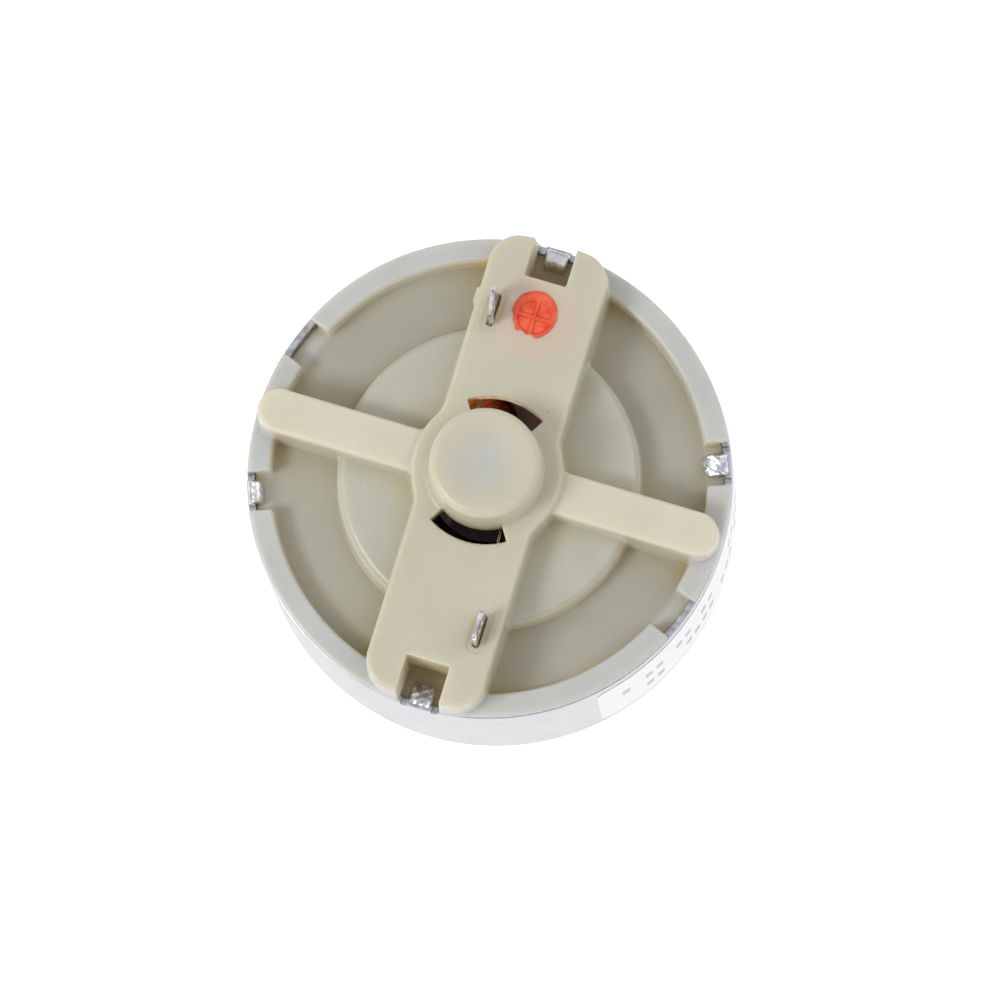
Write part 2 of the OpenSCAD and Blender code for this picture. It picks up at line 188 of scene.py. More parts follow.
def loft(layers):
    """Closed layers of equal length joined one after the other, with both ends capped."""
    n = len(layers[0])
    faces = [(i * n + j, i * n + (j + 1) % n, (i + 1) * n + (j + 1) % n, (i + 1) * n + j)
             for i in range(len(layers) - 1) for j in range(n)]
    faces.append(tuple(reversed(range(n))))
    faces.append(tuple((len(layers) - 1) * n + j for j in range(n)))
    return np.concatenate(layers), faces


def prism(outline, z0, z1, edge=0.05, steps=3):
    """A closed counter-clockwise outline raised from z0 to z1, with rounded edges."""
    rings = []
    for s in np.linspace(0, math.pi / 2, steps + 1):
        rings.append((edge * (math.sin(s) - 1), z0 + edge * (1 - math.cos(s))))
    rings += [(d, z0 + z1 - z) for d, z in reversed(rings)]
    return loft([np.column_stack([grow(outline, d), np.full(len(outline), z)])
                 for d, z in rings])


def arc(radius, start, end, steps):
    """Points of an arc in degrees."""
    angle = np.radians(np.linspace(start, end, steps + 1))
    return np.column_stack([radius * np.cos(angle), radius * np.sin(angle)])


def turned(part, degrees):
    """A part turned about Z."""
    points, faces = part
    c, s = math.cos(math.radians(degrees)), math.sin(math.radians(degrees))
    return np.asarray(points) @ np.array([[c, s, 0], [-s, c, 0], [0, 0, 1]]), faces


def tube(path, radius, sides=8, closed=True):
    """A tube along a path of points."""
    path = np.asarray(path, dtype=float)
    if closed:
        tangent = np.roll(path, -1, 0) - np.roll(path, 1, 0)
    else:
        tangent = np.gradient(path, axis=0)
    tangent /= np.linalg.norm(tangent, axis=1, keepdims=True)
    mean = np.cross(path - path.mean(0), tangent).sum(0)
    side = mean / np.linalg.norm(mean)
    up = np.cross(tangent, side)
    up /= np.linalg.norm(up, axis=1, keepdims=True)
    side = np.cross(up, tangent)
    angle = np.linspace(0, 2 * math.pi, sides, endpoint=False)
    points = (path[:, None] + radius * (np.cos(angle)[None, :, None] * side[:, None]
                                        + np.sin(angle)[None, :, None] * up[:, None]))
    n = len(path)
    rows = n if closed else n - 1
    faces = [(i * sides + j, i * sides + (j + 1) % sides,
              ((i + 1) % n) * sides + (j + 1) % sides, ((i + 1) % n) * sides + j)
             for i in range(rows) for j in range(sides)]
    if not closed:
        faces.append(tuple(reversed(range(sides))))
        faces.append(tuple((n - 1) * sides + j for j in range(sides)))
    return points.reshape(-1, 3), faces


# ---------------------------------------------------------------- materials
def new_material(name):
    """An empty procedural material: (material, nodes, link, principled shader)."""
    material = bpy.data.materials.new(name)
    material.use_nodes = True
    nodes = material.node_tree.nodes
    return material, nodes, material.node_tree.links.new, nodes["Principled BSDF"]


def node(nodes, kind, **values):
    """A node with its properties or input values set."""
    made = nodes.new(kind)
    for key, value in values.items():
        if hasattr(made, key):
            setattr(made, key, value)
        else:
            made.inputs[key.replace("_", " ")].default_value = value
    return made


def ramp(nodes, stops):
    """A colour ramp from (position, colour) stops."""
    made = nodes.new("ShaderNodeValToRGB")
    for i, (position, colour) in enumerate(stops):
        element = made.color_ramp.elements[i] if i < 2 else made.color_ramp.elements.new(position)
        element.position = position
        element.color = (*colour, 1)
    return made


def noise(nodes, link, coordinate, per_mm, detail=3.0):
    """Noise with that many features in a millimetre of object space."""
    made = node(nodes, "ShaderNodeTexNoise", Scale=per_mm / MM, Detail=detail)
    link(coordinate, made.inputs["Vector"])
    return made


def add_bump(nodes, link, shader, height, distance_mm, strength=1.0):
    """Bump from a height, in millimetres of depth."""
    made = node(nodes, "ShaderNodeBump", Strength=strength, Distance=distance_mm * MM)
    link(height, made.inputs["Height"])
    link(made.outputs["Normal"], shader.inputs["Normal"])


def mix(nodes, link, factor, first, second, blend="MIX"):
    """Two colours or sockets mixed by a factor or socket."""
    made = nodes.new("ShaderNodeMix")
    made.data_type = "RGBA"
    made.blend_type = blend
    for name, value in (("Factor", factor), ("A", first), ("B", second)):
        socket = next(s for s in made.inputs
                      if s.name == name and (name == "Factor" or s.type == "RGBA"))
        if isinstance(value, bpy.types.NodeSocket):
            link(value, socket)
        else:
            socket.default_value = value if isinstance(value, float) else (*value, 1)
    return next(s for s in made.outputs if s.type == "RGBA")


def scaled(nodes, link, value, low, high, out_low=0.0, out_high=1.0):
    """A socket's value taken from one range to another, and clamped."""
    made = node(nodes, "ShaderNodeMapRange")
    for name, number in (("From Min", low), ("From Max", high), ("To Min", out_low),
                         ("To Max", out_high)):
        made.inputs[name].default_value = number
    link(value, made.inputs["Value"])
    return made.outputs["Result"]


def math_node(nodes, link, operation, first, second=None):
    """The result of a maths node on numbers or sockets."""
    made = node(nodes, "ShaderNodeMath", operation=operation)
    for socket, value in zip(made.inputs, (first, second)):
        if isinstance(value, bpy.types.NodeSocket):
            link(value, socket)
        elif value is not None:
            socket.default_value = value
    return made.outputs[0]


def place_on_part(nodes, link):
    """Object space as (place, its X, Y and Z split, its X and Y alone)."""
    where = nodes.new("ShaderNodeTexCoord").outputs["Object"]
    split = nodes.new("ShaderNodeSeparateXYZ")
    link(where, split.inputs[0])
    flat = node(nodes, "ShaderNodeCombineXYZ")
    link(split.outputs["X"], flat.inputs["X"])
    link(split.outputs["Y"], flat.inputs["Y"])
    return where, split.outputs, flat.outputs[0]


def nylon_material():
    """Natural nylon: ivory where thick, duller on the floor and disc, neutral on the flange, with
    painted brown shade in its corners and recesses.
    """
    floor_tone = (0.435, 0.42, 0.353)
    disc_tone = (0.525, 0.52, 0.447)
    flange_tone = (0.545, 0.55, 0.545)
    bar_tone = (0.595, 0.565, 0.455)
    arm_tone = (0.68, 0.65, 0.525)
    axis_tone = (0.49, 0.51, 0.53)
    paint_tint = (0.80, 0.47, 0.38)
    speck_tint = (0.5, 0.46, 0.38)
    painted_corner_shade = (0.98, 0.81, 0.46)
    lit_through = (1.5, 1.47, 1.36)
    material, nodes, link, shader = new_material("natural_nylon")
    where, split, flat = place_on_part(nodes, link)

    def distance(x, y):
        made = node(nodes, "ShaderNodeVectorMath", operation="DISTANCE")
        link(flat, made.inputs[0])
        made.inputs[1].default_value = (x * MM, y * MM, 0)
        return made.outputs["Value"]

    radius = distance(0, 0)
    on_flange = scaled(nodes, link, radius, (RING_R[0] - 0.2) * MM, (RING_R[0] + 0.2) * MM)
    on_disc = scaled(nodes, link, radius, (DISC_R + 0.07) * MM, (DISC_R + 0.17) * MM, 1.0, 0.0)
    inner = mix(nodes, link, on_disc, floor_tone, disc_tone)
    low_down = mix(nodes, link, on_flange, inner, flange_tone)
    high_up = scaled(nodes, link, split["Z"], (RING_TOP + 0.1) * MM, (ARM_TOP - 0.2) * MM)
    sideways = math_node(nodes, link, "ABSOLUTE", split["X"])
    on_arm = scaled(nodes, link, sideways, (HUB_R - 0.3) * MM, (HUB_R + 0.3) * MM)
    raised = mix(nodes, link, on_arm, bar_tone, arm_tone)
    tone = mix(nodes, link, high_up, low_down, raised)
    near_paint = scaled(nodes, link, distance(*MARK), 1.0 * MM, 2.6 * MM, 0.42, 0.0)
    tone = mix(nodes, link, near_paint, tone, paint_tint)
    near_axis = scaled(nodes, link, radius, 0.1 * MM, 1.9 * MM, 0.62, 0.0)
    tone = mix(nodes, link, near_axis, tone, axis_tone)

    cloud = noise(nodes, link, where, 0.22, 4)
    tone = mix(nodes, link, 0.13, tone, cloud.outputs["Fac"], "OVERLAY")
    speck = noise(nodes, link, where, 2.6, 1)
    speck_tone = ramp(nodes, [(0.16, speck_tint), (0.19, (1, 1, 1))])
    link(speck.outputs["Fac"], speck_tone.inputs["Fac"])
    tone = mix(nodes, link, 1.0, tone, speck_tone.outputs["Color"], "MULTIPLY")
    # light comes through the thin upright walls, most of all low down, but not at the
    # flange's outside
    facing = nodes.new("ShaderNodeSeparateXYZ")
    link(nodes.new("ShaderNodeTexCoord").outputs["Normal"], facing.inputs[0])
    level = math_node(nodes, link, "ABSOLUTE", facing.outputs["Z"])
    upright = scaled(nodes, link, level, 0.2, 0.75, 1.0, 0.0)
    inside = scaled(nodes, link, radius, (RING_R[1] - 0.3) * MM, (RING_R[1] - 0.15) * MM, 1.0, 0.0)
    low = scaled(nodes, link, split["Z"], (DISC_TOP - 0.2) * MM, (DISC_TOP + 0.6) * MM, 1.0, 0.3)
    glow = math_node(nodes, link, "MULTIPLY", upright, inside)
    glow = math_node(nodes, link, "MULTIPLY", glow, low)
    tone = mix(nodes, link, glow, tone, mix(nodes, link, 1.0, tone, lit_through, "MULTIPLY"))
    # painted shade: where ambient occlusion finds corners and recesses, the colour is multiplied
    # towards a brown shade colour
    corners = node(nodes, "ShaderNodeAmbientOcclusion", samples=8, Distance=2.2 * MM)
    shade = mix(nodes, link, scaled(nodes, link, corners.outputs["AO"], 0.15, 0.75),
                painted_corner_shade, (1, 1, 1))
    link(mix(nodes, link, 1.0, tone, shade, "MULTIPLY"), shader.inputs["Base Color"])

    shader.inputs["Subsurface Weight"].default_value = 0.7
    shader.inputs["Subsurface Radius"].default_value = (1.0, 0.82, 0.5)
    shader.inputs["Subsurface Scale"].default_value = 1.0 * MM
    shader.inputs["Specular IOR Level"].default_value = 0.5
    grain = noise(nodes, link, where, 7.0, 4)
    link(scaled(nodes, link, grain.outputs["Fac"], 0.3, 0.7, 0.28, 0.42),
         shader.inputs["Roughness"])
    add_bump(nodes, link, shader, grain.outputs["Fac"], 0.008, 0.5)
    return material


def metal_material(name, colour, roughness, grain_mm=6.0, depth_mm=0.004, stretch=(1, 1, 1),
                   tint=None, patch_mm=0.7, contrast=1.0):
    """Metal with fine, possibly stretched scratches and a patchy colour that is partly wear and
    partly painted sheen and reflection.
    """
    material, nodes, link, shader = new_material(name)
    where = nodes.new("ShaderNodeTexCoord").outputs["Object"]
    stretched = node(nodes, "ShaderNodeMapping")
    stretched.inputs["Scale"].default_value = stretch
    link(where, stretched.inputs["Vector"])
    grain = noise(nodes, link, stretched.outputs["Vector"], grain_mm, 5)
    patches = noise(nodes, link, where, patch_mm, 3)
    # patches of a second colour: partly wear, partly painted sheen and dark reflection
    painted_sheen_and_wear = scaled(nodes, link, patches.outputs["Fac"], 0.5 - 0.5 / contrast, 0.5 + 0.5 / contrast)
    second = tint or tuple(c * 0.8 for c in colour)
    link(mix(nodes, link, painted_sheen_and_wear, colour, second), shader.inputs["Base Color"])
    shader.inputs["Metallic"].default_value = 1.0
    link(scaled(nodes, link, grain.outputs["Fac"], 0.0, 1.0, roughness * 0.7, roughness * 1.4),
         shader.inputs["Roughness"])
    add_bump(nodes, link, shader, grain.outputs["Fac"], depth_mm, 0.8)
    return material


def can_material():
    """Bright plated sheet, bluish and scratched on its sheared edge and just inside it."""
    material = metal_material("can_steel", (0.66, 0.65, 0.68), 0.34, 3.0, 0.003, (1, 1, 9))
    nodes, link = material.node_tree.nodes, material.node_tree.links.new
    colour = nodes["Principled BSDF"].inputs["Base Color"]
    plated = colour.links[0].from_socket
    where, split, flat = place_on_part(nodes, link)
    radius = node(nodes, "ShaderNodeVectorMath", operation="LENGTH")
    link(flat, radius.inputs[0])
    within = scaled(nodes, link, radius.outputs["Value"], (CAN_R - 0.06) * MM,
                    (CAN_R - 0.03) * MM, 1.0, 0.0)
    high = scaled(nodes, link, split["Z"], (CAN_TOP - 1.0) * MM, (CAN_TOP - 0.8) * MM)
    scratches = noise(nodes, link, where, 2.6, 4)
    sheared = ramp(nodes, [(0.36, (0.34, 0.35, 0.40)), (0.64, (0.64, 0.65, 0.71))])
    link(scratches.outputs["Fac"], sheared.inputs["Fac"])
    edge = mix(nodes, link, high, plated, sheared.outputs["Color"])
    link(mix(nodes, link, within, plated, edge), colour)
    return material


def plastic_material(name, colour, roughness, per_mm=8.0, depth_mm=0.004, variation=0.15):
    """Opaque plastic or rubber with a fine grain and slight colour variation."""
    material, nodes, link, shader = new_material(name)
    where = nodes.new("ShaderNodeTexCoord").outputs["Object"]
    patches = noise(nodes, link, where, 0.9, 3)
    link(mix(nodes, link, variation, colour, patches.outputs["Color"], "OVERLAY"),
         shader.inputs["Base Color"])
    shader.inputs["Roughness"].default_value = roughness
    grain = noise(nodes, link, where, per_mm, 3)
    add_bump(nodes, link, shader, grain.outputs["Fac"], depth_mm, 0.6)
    return material


def paint_material():
    """Red marking paint, dabbed on by hand: thin and thick patches, glossy."""
    material, nodes, link, shader = new_material("red_paint")
    where = nodes.new("ShaderNodeTexCoord").outputs["Object"]
    patches = noise(nodes, link, where, 1.6, 5)
    tone = ramp(nodes, [(0.34, (0.80, 0.06, 0.022)), (0.64, (0.97, 0.15, 0.06))])
    link(patches.outputs["Fac"], tone.inputs["Fac"])
    link(tone.outputs["Color"], shader.inputs["Base Color"])
    shader.inputs["Roughness"].default_value = 0.42
    shader.inputs["Subsurface Weight"].default_value = 0.3
    shader.inputs["Subsurface Radius"].default_value = (1.0, 0.35, 0.2)
    shader.inputs["Subsurface Scale"].default_value = 0.35 * MM
    streaks = noise(nodes, link, where, 6.0, 4)
    add_bump(nodes, link, shader, streaks.outputs["Fac"], 0.02, 0.7)
    return material


def label_material():
    """White film with rows of plain grey bars in place of any lettering."""
    material, nodes, link, shader = new_material("printed_film")
    _, split, _ = place_on_part(nodes, link)

    def calc(operation, first, second=None):
        return math_node(nodes, link, operation, first, second)

    around = calc("MULTIPLY", calc("ARCTAN2", split["Y"], split["X"]), CAN_R)
    height = calc("DIVIDE", split["Z"], MM)
    # rows of bars around the can, in millimetres
    row_pitch, row_fill, first_row, rows = 2.7, 0.42, 3.2, 2
    cell_pitch, cell_fill = 0.72, 0.62
    row_at = calc("DIVIDE", calc("SUBTRACT", height, first_row), row_pitch)
    row = calc("FLOOR", row_at)
    in_row = calc("LESS_THAN", calc("FRACT", row_at), row_fill)
    in_rows = calc("MULTIPLY", calc("GREATER_THAN", row_at, 0.0),
                   calc("LESS_THAN", row_at, float(rows)))
    cell_at = calc("DIVIDE", around, cell_pitch)
    in_cell = calc("LESS_THAN", calc("FRACT", cell_at), cell_fill)
    cell = nodes.new("ShaderNodeCombineXYZ")
    link(calc("FLOOR", cell_at), cell.inputs["X"])
    link(row, cell.inputs["Y"])
    chance = node(nodes, "ShaderNodeTexWhiteNoise", noise_dimensions="2D")
    link(cell.outputs[0], chance.inputs["Vector"])
    printed = calc("MULTIPLY", in_cell, calc("GREATER_THAN", chance.outputs["Value"], 0.4))
    inside = calc("LESS_THAN", calc("ABSOLUTE", calc("ADD", around, 0.3)), 8.6)
    ink = calc("MULTIPLY", calc("MULTIPLY", in_row, in_rows), calc("MULTIPLY", printed, inside))
    link(mix(nodes, link, ink, (0.975, 0.97, 0.98), (0.50, 0.50, 0.53)),
         shader.inputs["Base Color"])
    shader.inputs["Roughness"].default_value = 0.34
    fibre = node(nodes, "ShaderNodeTexNoise", Scale=4 / MM, Detail=3.0)
    add_bump(nodes, link, shader, fibre.outputs["Fac"], 0.004, 0.4)
    return material


nylon = nylon_material()
can_steel = can_material()
# painted reflection: the tabs' dark patches stand in for the dark surroundings mirrored in the
# battered and rolled sheet
tab_steel = metal_material("tab_steel", (0.88, 0.90, 0.97), 0.30, 7.0, 0.025, (1, 1, 1),
                           (0.36, 0.38, 0.46), 2.4, 2.5)
rolled_steel = metal_material("rolled_steel", (0.95, 0.96, 1.0), 0.28, 7.0, 0.012, (1, 1, 1),
                              (0.58, 0.60, 0.67), 1.8, 1.6)
tinned = metal_material("tinned_terminal", (0.93, 0.93, 0.97), 0.24, 4.0, 0.02, (1, 1, 1),
                        (0.40, 0.37, 0.38), 2.0, 3.0)
leaf_alloy = metal_material("leaf_alloy", (0.86, 0.82, 0.70), 0.25, 8.0, 0.002)
bronze = metal_material("sintered_bronze", (0.66, 0.47, 0.24), 0.42, 14.0, 0.01)
ground_steel = metal_material("ground_steel", (0.78, 0.78, 0.80), 0.16, 8.0, 0.002, (1, 1, 8))
spring_steel = metal_material("spring_steel", (0.62, 0.62, 0.65), 0.3)
lamination_steel = metal_material("lamination_steel", (0.34, 0.34, 0.37), 0.4)
copper_wire = metal_material("copper_wire", (0.90, 0.33, 0.13), 0.32, 5.0, 0.002, (1, 1, 1),
                             (0.62, 0.18, 0.06))
commutator_copper = metal_material("commutator_copper", (0.80, 0.46, 0.26), 0.3)
weight_alloy = metal_material("weight_alloy", (0.68, 0.56, 0.34), 0.34, 5.0, 0.012, (1, 1, 1),
                              (0.56, 0.45, 0.26))
ferrite = plastic_material("ferrite", (0.035, 0.035, 0.04), 0.55)
black_disc = plastic_material("varistor_black", (0.12, 0.094, 0.08), 0.5)
resin = plastic_material("resin", (0.03, 0.03, 0.03), 0.4)
insulator_plastic = plastic_material("insulator_green", (0.02, 0.06, 0.045), 0.45)
pad_rubber = plastic_material("pad_rubber", (0.22, 0.05, 0.04), 0.7, 12.0, 0.01)
white_plastic = plastic_material("white_plastic", (0.72, 0.72, 0.68), 0.4)
red_paint = paint_material()
printed_film = label_material()


# ---------------------------------------------------------------- end bell
def smooth_union(a, b, radius):
    """Union of two distance fields, blended like a fillet of that radius."""
    h = np.maximum(radius - np.abs(a - b), 0) / radius
    return np.minimum(a, b) - h * h * radius / 4


def smooth_cut(a, b, radius):
    """Field a with b taken away, with its edges eased."""
    return -smooth_union(-a, b, radius)


def rounded(across, along, radius):
    """Meeting of two distance fields with a rounded edge."""
    p, q = across + radius, along + radius
    outside = np.sqrt(np.maximum(p, 0) ** 2 + np.maximum(q, 0) ** 2)
    return outside + np.minimum(np.maximum(p, q), 0) - radius


def slab(z, low, high):
    """Distance to the layer between two heights."""
    return np.abs(z - (low + high) / 2) - (high - low) / 2


def box2d(u, v, half_u, half_v):
    """Distance to a rectangle in the plane."""
    return rounded(np.abs(u) - half_u, np.abs(v) - half_v, 1e-6)


def bell_field(x, y, z):
    """Signed distance to the end bell, negative inside."""
    r = np.sqrt(x * x + y * y)
    draft = math.tan(math.radians(2))

    def layer(flat, low, high, edge):
        return rounded(flat + (z - high) * draft, slab(z, low, high), edge)

    floor = np.maximum(r - BELL_R, slab(z, FLOOR - 0.9, FLOOR))
    inside_can = np.minimum(CAN_TOP - z, r - BELL_R)
    ring_mid, ring_half = sum(RING_R) / 2, (RING_R[1] - RING_R[0]) / 2
    ring = layer(np.abs(r - ring_mid) - ring_half, FLOOR - 0.3, RING_TOP, 0.14)
    ring = np.maximum(ring, inside_can)
    seam = rounded(RING_R[1] - 0.16 - r, z - CAN_TOP - 0.13, 0.06)
    disc = layer(r - DISC_R, FLOOR - 0.3, DISC_TOP, 0.4)

    corner = 1.2
    bar = rounded(np.abs(x) - BAR_HALF, r - BAR_END_R, corner)
    tip = RING_R[1] - 0.12 - ARM_HALF
    arm = np.sqrt(np.maximum(np.abs(x) - tip, 0) ** 2 + y * y) - ARM_HALF
    raised = layer(smooth_union(bar, r - HUB_R, 0.3), FLOOR - 0.3, BAR_TOP, 0.2)
    raised = smooth_union(raised, layer(arm, FLOOR - 0.3, ARM_TOP, 0.2), 0.3)
    raised = np.maximum(raised, inside_can)

    boss_wall = r - BOSS_R + np.maximum(z - BAR_TOP, 0) * 0.06
    boss = rounded(boss_wall, slab(z, BAR_TOP - 0.5, BOSS_TOP), 0.36)
    dish_r, dish_depth = 2.1, 0.34
    ball = (dish_r ** 2 + dish_depth ** 2) / (2 * dish_depth)
    dish = np.sqrt(r * r + (z - BOSS_TOP + dish_depth - ball) ** 2) - ball
    boss = smooth_cut(boss, dish, 0.16)

    bell = smooth_union(smooth_union(floor, ring, 0.12), disc, 0.2)
    bell = smooth_union(bell, raised, 0.18)
    bell = smooth_cut(bell, seam, 0.05)
    bell = smooth_union(bell, boss, 0.3)

    # hollow inside: under the disc and the bar, and around the bush
    bar_room_half_w, bar_room_half_l = 2.55, 9.3
    room = np.maximum(r - (DISC_R - 0.5), z - (DISC_TOP - 0.75))
    bar_room = np.maximum(box2d(x, y, bar_room_half_w, bar_room_half_l), z - (BAR_TOP - 0.9))
    bell = np.maximum(bell, -np.minimum(room, bar_room))
    bush_room = np.maximum(r - BUSH_R, slab(z, BAR_TOP - 2, BOSS_TOP - 0.7))
    bell = np.maximum(bell, -bush_room)

    half = WINDOW_HALF_ANGLE
    wedge = np.abs(x) * math.cos(half) - np.abs(y) * math.sin(half)
    window = np.maximum(np.maximum(r - WINDOW_R, BOSS_R + 0.01 - r), wedge)
    bell = smooth_cut(bell, np.maximum(window, slab(z, BAR_TOP - 2, BAR_TOP + 1)), 0.03)

    for angle, half_w in NOTCH_HALVES.items():
        c, s = math.cos(math.radians(angle)), math.sin(math.radians(angle))
        u, v = x * c + y * s, y * c - x * s
        on_bar = angle in (90, 270)
        start = BAR_NOTCH_FROM if on_bar else RING_R[0] - 0.7
        flare = np.maximum(z - FLOOR, 0) * 0.02
        notch = rounded(np.abs(v) - half_w - flare, start - flare - u, 0.08)
        bell = smooth_cut(bell, np.maximum(notch, FLOOR - z), 0.08)

    recess_half, recess_depth = (0.42, 1.12), 0.03
    slot_half = (0.15, 0.82)
    for tx, ty in TERMINALS.values():
        recess = rounded(rounded(np.abs(x - tx) - recess_half[0],
                                 np.abs(y - ty) - recess_half[1], 0.3),
                         BAR_TOP - recess_depth - z, 0.05)
        slot = np.maximum(box2d(x - tx, y - ty, *slot_half), slab(z, BAR_TOP - 2, BAR_TOP + 1))
        bell = smooth_cut(smooth_cut(bell, recess, 0.12), slot, 0.03)

    mark_r = np.sqrt((x - MARK[0]) ** 2 + (y - MARK[1]) ** 2)
    sunk = np.maximum(mark_r - MARK_RING_R, BAR_TOP - 0.16 - z)
    rib = np.minimum(np.abs(x - MARK[0]), np.abs(y - MARK[1])) - 0.1
    rib = np.maximum(rib, z - (BAR_TOP - 0.03))
    bell = smooth_cut(bell, np.maximum(sunk, -rib), 0.06)
    # the stub left by the moulding gate, on the bar's side
    gate_y, gate_half = 8.4, (0.13, 0.42)
    gate = rounded(box2d(x + BAR_HALF + 0.02, y - gate_y, *gate_half),
                   slab(z, DISC_TOP - 0.3, BAR_TOP - 0.12), 0.1)
    return smooth_union(bell, gate, 0.06)


def field_mesh(field, low, high, step, adaptivity):
    """Mesh of a distance field's zero surface: points, faces and exact normals."""
    count = np.ceil((np.array(high) - low) / step).astype(int) + 1
    axes = [low[i] + step * np.arange(count[i]) for i in range(3)]
    x, y, z = np.meshgrid(*[a.astype(np.float32) for a in axes], indexing="ij", sparse=True)
    values = np.ascontiguousarray(field(x, y, z), dtype=np.float32)
    grid = openvdb.FloatGrid(4 * step)
    grid.copyFromArray(np.clip(values, -4 * step, 4 * step))
    points, triangles, quads = grid.convertToPolygons(isovalue=0.0, adaptivity=adaptivity)
    index = points.astype(np.float64)

    def sample(at):
        at = np.clip(at, 0, np.array(values.shape) - 1.001)
        base = at.astype(int)
        part = at - base
        total = 0
        for corner in np.ndindex(2, 2, 2):
            weight = np.prod(np.where(corner, part, 1 - part), axis=1)
            i, j, k = (base + corner).T
            total = total + weight * values[i, j, k]
        return total

    normal = np.stack([sample(index + d) - sample(index - d) for d in np.eye(3) * 0.6], 1)
    normal /= np.linalg.norm(normal, axis=1, keepdims=True) + 1e-9
    faces = [tuple(f) for f in triangles.tolist()] + [tuple(f) for f in quads.tolist()]
    return index * step + low, faces, normal


def make_end_bell():
    """The moulding, meshed from its distance field."""
    step = 0.075
    low = [-RING_R[1] - 0.4, -BAR_END_R - 0.4, FLOOR - 1.1]
    high = [RING_R[1] + 0.4, BAR_END_R + 0.4, BOSS_TOP + 0.3]
    points, faces, normals = field_mesh(bell_field, low, high, step, 0.004)
    first = np.array([points[i] for i in faces[0][:3]])
    if np.cross(first[1] - first[0], first[2] - first[0]) @ normals[faces[0][0]] < 0:
        faces = [tuple(reversed(f)) for f in faces]
    add_mesh("end_bell_moulding", points, faces, nylon, "stator", "nylon", ["end_bell"],
             normals)


# ---------------------------------------------------------------- can
def plain_object(part):
    """An object from points in millimetres, used only to shape another one."""
    mesh = bpy.data.meshes.new("shaping")
    mesh.from_pydata((np.asarray(part[0]) * MM).tolist(), [], part[1])
    made = bpy.data.objects.new("shaping", mesh)
    bpy.context.collection.objects.link(made)
    return made


def cut_away(part, cutters):
    """Points and faces of a part once the cutters are taken out of it."""
    shaped = plain_object(part)
    tools = [plain_object(c) for c in cutters]
    for tool in tools:
        step = shaped.modifiers.new("cut", "BOOLEAN")
        step.object, step.operation, step.solver = tool, "DIFFERENCE", "EXACT"
    mesh = shaped.evaluated_get(bpy.context.evaluated_depsgraph_get()).to_mesh()
    points = np.array([v.co for v in mesh.vertices]) / MM
    faces = [tuple(f.vertices) for f in mesh.polygons]
    for made in [shaped] + tools:
        spare = made.data
        bpy.data.objects.remove(made)
        bpy.data.meshes.remove(spare)
    return points, faces


def make_can():
    """Drawn cup with a bearing boss, two screw holes and cuts beside each crimp tab."""
    inner = CAN_R - WALL
    boss_low, boss_r = FRONT_BOSS
    cup = lathe(fillet([
        (BUSH_R, boss_low, 0.1), (boss_r, boss_low, 0.35), (boss_r, 0, 0.2),
        (CAN_R, 0, 0.8), (CAN_R, CAN_TOP, 0.05), (inner, CAN_TOP, 0.05),
        (inner, WALL, 0.4), (BUSH_R, WALL, 0.05)], 8), 256)
    hole_r, cut_w, tab_half = 1.0, 0.32, 0.65
    cutters = [prism(arc(hole_r, 0, 360, 48)[:-1] + [x, y], -0.5, WALL + 0.5, 0.01, 1)
               for x, y in SCREW_HOLES]
    for angle in TAB_ANGLES:
        for side in (-1, 1):
            v = side * (tab_half + cut_w / 2)
            gap = [(inner - 0.2, v - cut_w / 2, 0), (CAN_R + 0.2, v - cut_w / 2, 0),
                   (CAN_R + 0.2, v + cut_w / 2, 0), (inner - 0.2, v + cut_w / 2, 0)]
            cutters.append(turned(prism(fillet(gap), CAN_TOP - 0.5, CAN_TOP + 0.3, 0.01, 1),
                                  angle))
    add_mesh("can_shell", *cut_away(cup, cutters), can_steel, "stator", "can_steel",
             ["motor_can"])


def resample(outline, step):
    """A closed outline with no step longer than that."""
    out = []
    for a, b in zip(outline, np.roll(outline, -1, 0)):
        parts = max(1, int(np.linalg.norm(b - a) / step))
        out += [a + (b - a) * i / parts for i in range(parts)]
    return np.array(out)


def tab_outline(reach, rolled):
    """Side of a crimp tab as (radius, height): rolled down to the floor, or folded flat."""
    thick, root = 0.32, CAN_TOP - 0.3
    outer, wall, tip = CAN_R - 0.02, CAN_R - WALL, CAN_R - reach
    foot = [(wall, root, 0), (outer, root, 0)]
    if rolled:
        top, low, bend = CAN_TOP + 0.22, FLOOR + 0.02, 0.46 * reach
        return foot + [(outer, top, bend), (tip, top, bend), (tip, low, 0.06),
                       (tip + thick, low, 0.03), (tip + thick, top - thick, 0.02),
                       (wall, top - thick, 0.02)]
    top = CAN_TOP + 0.14
    return foot + [(outer, top, 0.34), (tip, top, 0.12), (tip, top - thick, 0.06),
                   (wall - 0.02, top - thick, 0.02)]


def tab_part(seed, reach, rolled):
    """A crimp tab bent inwards over the end bell, battered by the tool. +X is radial."""
    chance = np.random.default_rng(seed)
    rough, droop = (0.02, 0.0) if rolled else (0.085, 0.2)
    outer = CAN_R - 0.02
    along = resample(fillet(tab_outline(reach, rolled), 8), 0.05)
    waves = [(chance.uniform(3, 19), chance.uniform(3, 19), chance.uniform(0, 6.3))
             for _ in range(9)]
    half, columns = 0.6, 41
    inward = np.clip((outer - along[:, 0]) / reach, 0, 1)
    on_top = np.clip((along[:, 1] - CAN_TOP + 0.18) / 0.32, 0, 1)
    layers = []
    for t in np.linspace(-1, 1, columns):
        battered = sum(np.sin(a * along[:, 0] + b * t * half + c) for a, b, c in waves) / 3
        ease = 0.10 * np.clip((abs(t) - 0.8) / 0.2, 0, 1) ** 2
        y = t * half * (1 - 0.08 * inward) + battered * rough * 0.4 * inward
        z = along[:, 1] + (battered * rough * inward - ease) * on_top - droop * inward ** 2
        x = along[:, 0] + battered * rough * inward
        layers.append(np.column_stack([np.minimum(x, outer), y, z]))
    return loft(layers)


